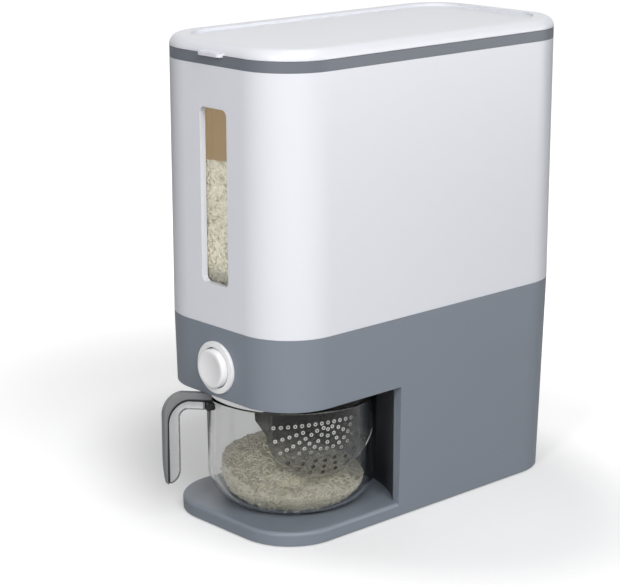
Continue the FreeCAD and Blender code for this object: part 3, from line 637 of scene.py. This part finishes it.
turn = Matrix.Rotation(cup_turn, 3, "Z")
lips = bmesh.new()
for ray in range(hole_rays):
    angle = math.pi + math.pi * ray / (hole_rays - 1)
    for step in range(holes_per_ray + 1):
        if step < len(rays_per_lip) and ray % rays_per_lip[step] != 0:
            continue
        away = hole_pitch * step
        spoke = Vector((math.sqrt(dish_sphere ** 2 - away ** 2), away * math.cos(angle),
                        away * math.sin(angle)))
        facing = spoke.normalized()
        stand = facing.to_track_quat("Z", "Y").to_matrix()
        sections = []
        for around in range(lip_steps):
            spin = 2 * math.pi * around / lip_steps
            out = stand @ Vector((math.cos(spin), math.sin(spin), 0))
            section = []
            for k in range(lip_sides):
                roll = 2 * math.pi * k / lip_sides
                point = (dish_centre + spoke + out * (hole_radius + lip_round * math.cos(roll))
                         + facing * lip_round * math.sin(roll))
                section.append(lips.verts.new(cup_axis + turn @ point))
            sections.append(section)
        skin(lips, sections, closed=True)
bmesh.ops.recalc_face_normals(lips, faces=lips.faces)
for face in lips.faces:
    face.smooth = True
highlight_rings = mesh_piece("strainer_hole_painted_highlights", lips)

# Painted light: the rings are pale towards the front and the top, a painted highlight, and near black
# towards the back and the bottom, a painted shade.
lips_painted_light_finish, tree, shader = new_material("strainer_lips_painted_light")
axes = on_piece(tree, "ShaderNodeSeparateXYZ", (-900, 0))
across = add_range(tree, (-700, 100), from_min=lips_painted_light_y, from_max=lips_painted_shade_y)
low_down = add_range(tree, (-700, -200), from_min=lips_shade_starts_z, from_max=lips_shade_full_z)
painted_shade = add_node(tree, "ShaderNodeMath", (-500, 0), operation="MAXIMUM")
tone = add_ramp(tree, (-300, 0), (0, (0.70, 0.70, 0.68)), (1, (0.008, 0.008, 0.008)))
join(axes, "Y", across, "Value")
join(axes, "Z", low_down, "Value")
join(across, "Result", painted_shade, 0)
join(low_down, "Result", painted_shade, 1)
join(painted_shade, 0, tone, "Fac")
join(tone, "Color", shader, "Base Color")
shader.inputs["Roughness"].default_value = 0.25
shader.inputs["Specular IOR Level"].default_value = 0.15
highlight_rings.data.materials.append(lips_painted_light_finish)
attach(highlight_rings, "cup")


# ---- Return spring: a coil of steel wire round the button's stem ---------------------------------
# It is drawn at its pressed length, so that the cap never meets it. The cap hides it at rest.
spring_low, spring_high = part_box("return_spring")
wire_radius = 0.6 * MM
wire_sides = 8
spring_turns = 6
steps_per_turn = 24
pressed_room = 8.2 * MM
coil_radius = (spring_high[0] - spring_low[0]) / 2 - wire_radius
coil_x = (spring_high[0] + spring_low[0]) / 2
coil_z = (spring_high[2] + spring_low[2]) / 2
coil_front = spring_low[1] + pressed_room + wire_radius
coil_back = spring_high[1] - wire_radius

coil = bmesh.new()
sections = []
for step in range(spring_turns * steps_per_turn + 1):
    share = step / (spring_turns * steps_per_turn)
    spin = 2 * math.pi * spring_turns * share
    out = Vector((math.cos(spin), 0, math.sin(spin)))
    coil_y = coil_front + (coil_back - coil_front) * share
    middle = Vector((coil_x, coil_y, coil_z)) + out * coil_radius
    section = []
    for k in range(wire_sides):
        roll = 2 * math.pi * k / wire_sides
        section.append(coil.verts.new(middle + out * wire_radius * math.cos(roll)
                                      + Vector((0, wire_radius * math.sin(roll), 0))))
    sections.append(section)
skin(coil, sections)
coil.faces.new(sections[0])
coil.faces.new(sections[-1])
bmesh.ops.recalc_face_normals(coil, faces=coil.faces)
for face in coil.faces:
    face.smooth = len(face.verts) == 4
spring = mesh_piece("return_spring_coil", coil)
spring.data.materials.append(steel)
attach(spring, "housing")
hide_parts("return_spring")


# ---- Rice in the cup: a washed heap that stands off the wall a little ----------------------------
# It is the contents, not a piece: a closed body, with long grains lying on all that shows of it.
grain_length = 6.4 * MM
grain_width = 2.1 * MM
grain_sides = 5
grain_rings = (-0.94, -0.6, 0.0, 0.6, 0.94)
grain_taper = 0.8
grain_tilt = 0.28
grain_smallest = 0.85
grain_largest = 1.12
grain_dark = (0.47, 0.44, 0.345)
grain_light = (0.64, 0.615, 0.515)
dim_depth = 16.0 * MM
dim_tone = 0.55


def grain_template():
    """One long grain along X: its corner points and its faces."""
    points = [(-grain_length / 2, 0, 0)]
    for along in grain_rings:
        radius = grain_width / 2 * math.sqrt(1 - along * along) ** grain_taper
        for side in range(grain_sides):
            angle = 2 * math.pi * side / grain_sides
            points.append((along * grain_length / 2, radius * math.cos(angle),
                           radius * math.sin(angle)))
    points.append((grain_length / 2, 0, 0))
    faces = []
    last = len(points) - 1
    for side in range(grain_sides):
        after = (side + 1) % grain_sides
        faces.append((0, 1 + after, 1 + side))
        for ring in range(len(grain_rings) - 1):
            low = 1 + ring * grain_sides
            high = low + grain_sides
            faces.append((low + side, low + after, high + after, high + side))
        low = 1 + (len(grain_rings) - 1) * grain_sides
        faces.append((low + side, low + after, last))
    return points, faces


def rice_grains(name, places, seed):
    """Grains laid at places, each a point and the direction that its heap faces there."""
    chance = random.Random(seed)
    template, template_faces = grain_template()
    points = []
    faces = []
    for place, facing in places:
        lie = facing.to_track_quat("Z", "Y").to_matrix()
        spin = Matrix.Rotation(chance.uniform(0, 2 * math.pi), 3, "Z")
        tilt = Matrix.Rotation(chance.gauss(0, grain_tilt), 3, "Y")
        size = chance.uniform(grain_smallest, grain_largest)
        turn = lie @ spin @ tilt * size
        first = len(points)
        for corner in template:
            points.append(turn @ Vector(corner) + place)
        for face in template_faces:
            faces.append([first + index for index in face])
    mesh = bpy.data.meshes.new(name)
    mesh.from_pydata(points, [], faces)
    mesh.polygons.foreach_set("use_smooth", [True] * len(mesh.polygons))
    return mesh_piece(name, mesh)


def rice_finish(glow, pale=1.0, dim_below=None):
    """Grains, each a little different, with a painted glow, which fades out below dim_below, where
    their colour also turns darker.
    """
    material, tree, shader = new_material("rice_grains")
    grain_id = add_node(tree, "ShaderNodeNewGeometry", (-700, 0))
    ends = [[level * pale for level in tone] for tone in (grain_dark, grain_light)]
    tone = add_ramp(tree, (-450, 0), (0, ends[0]), (1, ends[1]))
    join(grain_id, "Random Per Island", tone, "Fac")
    join(tone, "Color", shader, "Base Color")
    join(tone, "Color", shader, "Emission Color")
    shader.inputs["Emission Strength"].default_value = glow
    shader.inputs["Roughness"].default_value = 0.45
    if dim_below is not None:
        axes = on_piece(tree, "ShaderNodeSeparateXYZ", (-900, -300))
        lit = add_range(tree, (-700, -300), from_min=dim_below - dim_depth, from_max=dim_below,
                        to_max=glow)
        dull = add_range(tree, (-450, -400), from_max=glow, to_min=dim_tone)
        shade = add_node(tree, "ShaderNodeVectorMath", (-250, 200), operation="SCALE")
        join(axes, "Z", lit, "Value")
        join(lit, "Result", shader, "Emission Strength")
        join(lit, "Result", dull, "Value")
        join(tone, "Color", shade, 0)
        join(dull, "Result", shade, "Scale")
        join(shade, "Vector", shader, "Base Color")
    return material


def packed_rice_finish(glow):
    """The mass between the grains: a pale tone with painted shade in the gaps, and a painted glow."""
    material, tree, shader = new_material("packed_rice")
    cells = on_piece(tree, "ShaderNodeTexVoronoi", (-650, 0), Scale=420.0)
    painted_gap_shade = add_ramp(tree, (-400, 0), (0, (0.44, 0.41, 0.32)), (1, (0.27, 0.25, 0.185)))
    join(cells, "Distance", painted_gap_shade, "Fac")
    join(painted_gap_shade, "Color", shader, "Base Color")
    join(painted_gap_shade, "Color", shader, "Emission Color")
    shader.inputs["Emission Strength"].default_value = glow
    shader.inputs["Roughness"].default_value = 0.8
    return material


def mound(name, columns, top, bottom):
    """A closed heap: columns of points from its foot to near its top, all round, and its two ends."""
    mesh = bmesh.new()
    columns = [[mesh.verts.new(point) for point in column] for column in columns]
    top = mesh.verts.new(top)
    bottom = mesh.verts.new(bottom)
    for here, after in zip(columns, columns[1:] + columns[:1]):
        for low in range(len(here) - 1):
            mesh.faces.new((here[low], after[low], after[low + 1], here[low + 1]))
        mesh.faces.new((here[-1], after[-1], top))
        mesh.faces.new((after[0], here[0], bottom))
    bmesh.ops.recalc_face_normals(mesh, faces=mesh.faces)
    return mesh_piece(name, mesh)


heap_peak = Vector((-11.0, -11.5)) * MM
heap_top = 48.5 * MM
heap_lowest = 4.0 * MM
heap_slope = 0.54
heap_top_round = 12.0 * MM
heap_lump = 2.2 * MM
heap_lump_scale = 45
heap_past_dish = 22.0 * MM
heap_dish_gap = 5.0 * MM
heap_dish_fall = 4.0
heap_gap = 1.6 * MM
heap_near_gap = 8.5 * MM
heap_far_gap = 6.0 * MM
heap_gap_side = math.radians(-135)
heap_edge_tries = 6
heap_steps = 96
heap_layers = 16
# Painted light: the cup's rice glows a little, both the mass and the grains on it.
heap_painted_glow = 0.05


def gap_at(angle):
    """The heap's gap to the wall: widest at the front left, less opposite, least between."""
    facing = math.cos(angle - heap_gap_side)
    return heap_gap + (heap_near_gap if facing > 0 else heap_far_gap) * facing ** 2


def cup_inside_radius(height):
    """The cup's inner radius at a height above its underside."""
    if height >= cup_shoulder_height:
        rise = (height - cup_shoulder_height) / (cup_height - cup_shoulder_height)
        return cup_shoulder_radius - cup_wall + (cup_wall_radius - cup_shoulder_radius) * rise
    return belly_x + math.sqrt((belly_radius - cup_wall) ** 2 - (height - belly_z) ** 2)


def heap_height(x, y):
    """The heap's surface above the cup's underside: a rounded cone with uneven ground."""
    away = math.hypot(x - heap_peak.x, y - heap_peak.y)
    cone = heap_top - heap_slope * (math.hypot(away, heap_top_round) - heap_top_round)
    past_dish = x * math.cos(cup_turn) + y * math.sin(cup_turn) - (dish_distance - heap_dish_gap)
    if past_dish > 0:
        cone = min(cone, max(heap_past_dish, cone - heap_dish_fall * past_dish))
    return cone + heap_lump * noise(Vector((x, y, 0)) * heap_lump_scale)


def heap_edge(angle):
    """Where the heap's surface meets the cup's wall: its distance from the axis and its height."""
    radius = cup_inside_radius(heap_top) - gap_at(angle)
    for _ in range(heap_edge_tries):
        height = heap_height(radius * math.cos(angle), radius * math.sin(angle))
        radius = cup_inside_radius(max(height, heap_lowest)) - gap_at(angle)
    return radius, height


heap_foot = cup_wall + heap_gap
columns = []
for step in range(heap_steps):
    angle = 2 * math.pi * step / heap_steps
    edge_radius, edge_height = heap_edge(angle)
    column = []
    for layer in range(heap_layers + 1):
        height = heap_foot + (edge_height - heap_foot) * layer / heap_layers
        radius = cup_inside_radius(height) - gap_at(angle)
        column.append((radius * math.cos(angle), radius * math.sin(angle), height))
    for layer in range(1, heap_layers):
        radius = edge_radius * (1 - layer / heap_layers)
        x = radius * math.cos(angle)
        y = radius * math.sin(angle)
        column.append((x, y, heap_height(x, y)))
    columns.append([cup_axis + Vector(point) for point in column])
cup_rice_body = mound("cup_rice_body", columns, cup_axis + Vector((0, 0, heap_height(0, 0))),
                      cup_axis + Vector((0, 0, heap_foot)))
cup_rice_body.data.materials.append(packed_rice_finish(heap_painted_glow))
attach(cup_rice_body, "cup")

wall_grains = 2200
wall_grains_from = cup_wall + 2 * MM
belly_lean = 1.2
top_grains = 1500
top_grains_inset = 1.5 * MM
top_spread = 0.3
cup_grain_painted_glow = 0.03
cup_grain_pale = 0.82
chance = random.Random(5)
places = []
for _ in range(wall_grains):
    angle = chance.uniform(0, 2 * math.pi)
    edge_radius, edge_height = heap_edge(angle)
    height = wall_grains_from + (edge_height - wall_grains_from) * math.sqrt(chance.random())
    radius = cup_inside_radius(height) - gap_at(angle)
    point = Vector((radius * math.cos(angle), radius * math.sin(angle), height))
    lean = 0.0
    if height <= cup_shoulder_height:
        lean = -belly_lean * (1 - height / cup_shoulder_height)
    facing = Vector((math.cos(angle), math.sin(angle), lean)).normalized()
    places.append((cup_axis + point, facing))
for _ in range(top_grains):
    angle = chance.uniform(0, 2 * math.pi)
    edge_radius, edge_height = heap_edge(angle)
    radius = (edge_radius - top_grains_inset) * math.sqrt(chance.random())
    x = radius * math.cos(angle)
    y = radius * math.sin(angle)
    facing = Vector((top_spread * math.cos(angle), top_spread * math.sin(angle), 1)).normalized()
    places.append((cup_axis + Vector((x, y, heap_height(x, y))), facing))
cup_rice_grains = rice_grains("cup_rice_grains", places, seed=6)
cup_rice_grains.data.materials.append(rice_finish(cup_grain_painted_glow, pale=cup_grain_pale))
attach(cup_rice_grains, "cup")


# ---- Rice in the hopper: the store behind the window ---------------------------------------------
# The same rice, dry, with a painted glow for the light that comes through the white wall. It fills just
# over two thirds of the window, and its lower end lies on the funnel's slopes.
pane_low, pane_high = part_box("window_pane")
store_level = 296.0 * MM
store_tilt = 0.09
store_fall = 0.45
store_fall_length = 75.0 * MM
store_lumps = ((3.0 * MM, 22, 7), (1.2 * MM, 90, 3))
store_front = pane_high[1] + 1.6 * MM
store_inset = 9.0 * MM
store_side = housing_high[0] - store_inset
store_back = housing_high[1] - store_inset
store_corner = corner_round - store_inset
store_bottom = 199.0 * MM
store_slope_back = housing_middle.y + 88.0 * MM
store_slope_top = 232.0 * MM
store_layers = 22
plan_step = 6 * MM
plan_corner_steps = 9
# Painted light: the rice in the hopper glows, for the light that comes through the white wall.
store_painted_glow = 0.33


def store_height(x, y):
    """The store lies highest at the front wall, rises a little to the right and falls away behind."""
    fall = store_fall * min(y - store_front, store_fall_length) - store_tilt * x
    lumps = sum(lump * noise(Vector((x, y, layer)) * scale) for lump, scale, layer in store_lumps)
    return store_level - fall + lumps


def rounded_plan(side, front, back, corner):
    """Points round a rectangle with round corners."""
    points = []
    centres = ((side - corner, front + corner, -90), (side - corner, back - corner, 0),
               (corner - side, back - corner, 90), (corner - side, front + corner, 180))
    for x, y, start in centres:
        points += round_turn((x, y), corner, start, start + 90, plan_corner_steps)
    plan = []
    for a, b in zip(points, points[1:] + points[:1]):
        steps = max(1, round(math.hypot(b[0] - a[0], b[1] - a[1]) / plan_step))
        for step in range(steps):
            plan.append((a[0] + (b[0] - a[0]) * step / steps, a[1] + (b[1] - a[1]) * step / steps))
    return plan


def store_floor(y):
    """The store's lower end, which climbs the funnel's rear slope."""
    climb = (y - store_slope_back) / (store_back - store_slope_back)
    return store_bottom + (store_slope_top - store_bottom) * max(0.0, climb)


columns = []
for x, y in rounded_plan(store_side, store_front, store_back, store_corner):
    column = [(x, y, store_floor(y))]
    for layer in range(store_layers):
        share = 1 - layer / store_layers
        top_x = x * share
        top_y = housing_middle.y + (y - housing_middle.y) * share
        column.append((top_x, top_y, store_height(top_x, top_y)))
    columns.append(column)
store_body = mound("store_rice_body", columns,
                   (0, housing_middle.y, store_height(0, housing_middle.y)),
                   (0, housing_middle.y, store_bottom))
store_body.data.materials.append(packed_rice_finish(store_painted_glow))
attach(store_body, "housing")

window_grains = 950
window_half = 22.0 * MM
window_grain_end = 1.0 * MM
window_grain_out = 0.5 * MM
window_grain_in = 0.6 * MM
window_spread = 0.2
surface_grains = 2700
surface_edge = 2.0 * MM
surface_crowding = 1.3
dim_above_pane = 20 * MM
chance = random.Random(11)
places = []
for _ in range(window_grains):
    x = chance.uniform(-window_half, window_half)
    z = chance.uniform(store_bottom + window_grain_end,
                       store_height(x, store_front) - window_grain_end)
    y = store_front + chance.uniform(-window_grain_out, window_grain_in)
    facing = Vector((chance.gauss(0, window_spread), -1, chance.gauss(0, window_spread)))
    places.append((Vector((x, y, z)), facing.normalized()))
for _ in range(surface_grains):
    x = chance.uniform(-1, 1) * (store_side - surface_edge)
    back = chance.random() ** surface_crowding
    y = store_front + surface_edge + (store_back - store_front - 2 * surface_edge) * back
    past_side = max(abs(x) - store_side + store_corner, 0)
    past_end = max(abs(y - housing_middle.y) - store_back + housing_middle.y + store_corner, 0)
    if math.hypot(past_side, past_end) < store_corner - surface_edge:
        places.append((Vector((x, y, store_height(x, y))), Vector((0, 0, 1))))
store_grains = rice_grains("store_rice_grains", places, seed=12)
store_grains.data.materials.append(rice_finish(store_painted_glow, dim_below=pane_low[2] + dim_above_pane))
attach(store_grains, "housing")


# ---- Handle: a grey strap over a clear rib, with a dark seam between them ------------------------
# Moulded bands with rounded edges, one inside the other. Both spring from a dark block that hooks
# under the cup's rim. A curve here is a list of (reach from the cup's axis, height over its underside).
arm_slope = 0.19
turn_steps = 24
band_points = 90
furthest_between = 0.8
rounded_from = 1.0
side_facing = 0.9
band_sharp_angle = 45


def resample(points, count):
    """The same curve as count points at even distances."""
    lengths = [0.0]
    for a, b in zip(points, points[1:]):
        lengths.append(lengths[-1] + math.hypot(b[0] - a[0], b[1] - a[1]))
    even = []
    at = 0
    for step in range(count):
        want = lengths[-1] * step / (count - 1)
        while at < len(points) - 2 and lengths[at + 1] < want:
            at += 1
        share = (want - lengths[at]) / (lengths[at + 1] - lengths[at])
        a, b = points[at], points[at + 1]
        even.append((a[0] + (b[0] - a[0]) * share, a[1] + (b[1] - a[1]) * share))
    return even


def between(first, second, away):
    """A curve at a distance from second, towards first, that stays short of first."""
    curve = []
    for a, b in zip(first, second):
        share = min(away / math.hypot(a[0] - b[0], a[1] - b[1]), furthest_between)
        curve.append((b[0] + (a[0] - b[0]) * share, b[1] + (a[1] - b[1]) * share))
    return curve


def handle_band(name, upper, under, width, edge_round, painted_shade_rim=False):
    """A band between two curves, with rounded edges. Where its rim flag is set, all but its flat sides
    takes the second material, a painted shade for the dark edges of clear plastic."""
    along = Vector((math.sin(cup_turn), -math.cos(cup_turn), 0))
    across = Vector((math.cos(cup_turn), math.sin(cup_turn), 0))
    mesh = bmesh.new()
    sections = []
    for a, b in zip(upper, under):
        section = []
        for (reach, height), side in ((a, -1), (a, 1), (b, 1), (b, -1)):
            place = cup_axis + along * reach + Vector((0, 0, height)) + across * side * width / 2
            section.append(mesh.verts.new(place))
        sections.append(section)
    skin(mesh, sections)
    mesh.faces.new(sections[0])
    mesh.faces.new(list(reversed(sections[-1])))
    bmesh.ops.recalc_face_normals(mesh, faces=mesh.faces)
    sharp = [edge for edge in mesh.edges if edge.calc_face_angle() > rounded_from]
    bmesh.ops.bevel(mesh, geom=sharp, offset=edge_round, segments=3, profile=0.5, affect="EDGES",
                    clamp_overlap=True)
    mesh.normal_update()
    for face in mesh.faces:
        face.smooth = True
        if painted_shade_rim and abs(face.normal.dot(across)) < side_facing:
            face.material_index = 1
    piece = mesh_piece(name, mesh)
    piece.data.set_sharp_from_angle(angle=math.radians(band_sharp_angle))
    return piece


def arm_and_grip(start, reach, height, corner, low, tail=()):
    """An arm that falls a little towards the cup, a quarter turn and an upright grip."""
    points = [(start, height - arm_slope * (reach - corner - start))]
    points += round_turn((reach - corner, height - corner), corner, 90, 0, turn_steps)
    points.append((reach, low))
    return points + list(tail)


strap_grey = moulded_plastic("strap_grey", (0.20, 0.205, 0.21), roughness=0.38, edge=0)
strap_reach = 112.9 * MM
strap_top = 100.5 * MM
strap_side_thickness = 3.4 * MM
strap_top_thickness = 7.4 * MM
strap_corner = 17.0 * MM
strap_width = 6.0 * MM
strap_edge = 0.7 * MM
strap_root = 72.0 * MM
tip_height = 26.7 * MM
tip_rise = 10.6 * MM
tip_under_lift = 0.9 * MM
tip_lean = ((0.2 * MM, 1.4), (0.6 * MM, 1.0), (1.2 * MM, 0.5), (2.3 * MM, 0.0))
seam_thickness = 1.5 * MM

strap_tail = [(strap_reach - back, tip_height + rise * tip_rise) for back, rise in tip_lean]
strap_upper = resample(arm_and_grip(strap_root, strap_reach, strap_top, strap_corner,
                                    tip_height + 2 * tip_rise, strap_tail), band_points)
strap_inner = strap_reach - strap_side_thickness
strap_under_height = strap_top - strap_top_thickness
strap_under = resample(arm_and_grip(strap_root, strap_inner, strap_under_height, strap_corner,
                                    tip_height + tip_under_lift), band_points)
seam_line = between(strap_upper, strap_under, seam_thickness)
strap = handle_band("handle_strap_cover", strap_upper, seam_line, strap_width, strap_edge)
strap.data.materials.append(strap_grey)
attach(strap, "cup")
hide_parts("handle_strap")

dark_plastic = moulded_plastic("dark_plastic", (0.02, 0.02, 0.022), roughness=0.4, edge=0)
seam_overlap = 0.2 * MM
seam_inset = 0.5 * MM
seam_edge = 0.2 * MM
seam_top = between(strap_upper, strap_under, seam_thickness + seam_overlap)
seam = handle_band("handle_seam", seam_top, strap_under, strap_width - seam_inset, seam_edge)
seam.data.materials.append(dark_plastic)
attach(seam, "cup")

handle_clear = clear_moulding("handle_clear", (0.74, 0.75, 0.76), transmission=0.85, smooth=0.10,
                              rough=0.18)
paint_edge_shade(handle_clear, (0.08, 0.085, 0.09), blend=0.35)
# Painted shade: the rib's edges and tip take a near black, barely clear finish that stands in for the
# dark edges that thick clear plastic shows.
rib_edge_painted_shade = clear_moulding("rib_edge_painted_shade", (0.045, 0.047, 0.05), transmission=0.15, smooth=0.10,
                          rough=0.18)
layer_gap = 0.3 * MM
core_side_thickness = 9.8 * MM
core_top_thickness = 6.7 * MM
core_corner = 6.5 * MM
core_width = 5.0 * MM
core_edge = 1.1 * MM
core_root = 77.95 * MM
core_tip_lift = 0.6 * MM
tip_steps = 9
core_outer = strap_inner - layer_gap
core_inner = core_outer - core_side_thickness
core_height = strap_under_height - layer_gap
core_upper = resample(arm_and_grip(core_root, core_outer, core_height, strap_corner,
                                   tip_height + core_tip_lift), band_points)
tip_curve = []
for step in range(1, tip_steps):
    angle = math.pi / 2 * step / tip_steps
    tip_curve.append((core_outer - core_side_thickness * math.cos(angle),
                      tip_height + tip_rise * (1 - math.sin(angle))))
core_under = resample(arm_and_grip(core_root, core_inner, core_height - core_top_thickness,
                                   core_corner, tip_height + tip_rise, tip_curve), band_points)
core = handle_band("handle_rib", core_upper, core_under, core_width, core_edge, painted_shade_rim=True)
core.data.materials.append(handle_clear)
core.data.materials.append(rib_edge_painted_shade)
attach(core, "cup")
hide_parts("handle_core")

block_start = 70.1 * MM
block_foot_start = 69.1 * MM
block_end = core_root - 0.15 * MM
block_foot_end = block_end - 0.8 * MM
block_width = 9.4 * MM
block_edge = 1.9 * MM
block_points = 6
block_top = core_upper[0][1]
block_under = core_under[0][1] - 1.0 * MM
block_upper = [(block_start, block_top - arm_slope * (core_root - block_start)), (block_end, block_top)]
block_lower = [(block_foot_start, block_under), (block_foot_end, block_under)]
block = handle_band("handle_block", resample(block_upper, block_points),
                    resample(block_lower, block_points), block_width, block_edge)
block.data.materials.append(dark_plastic)
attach(block, "cup")
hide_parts("handle_clip")
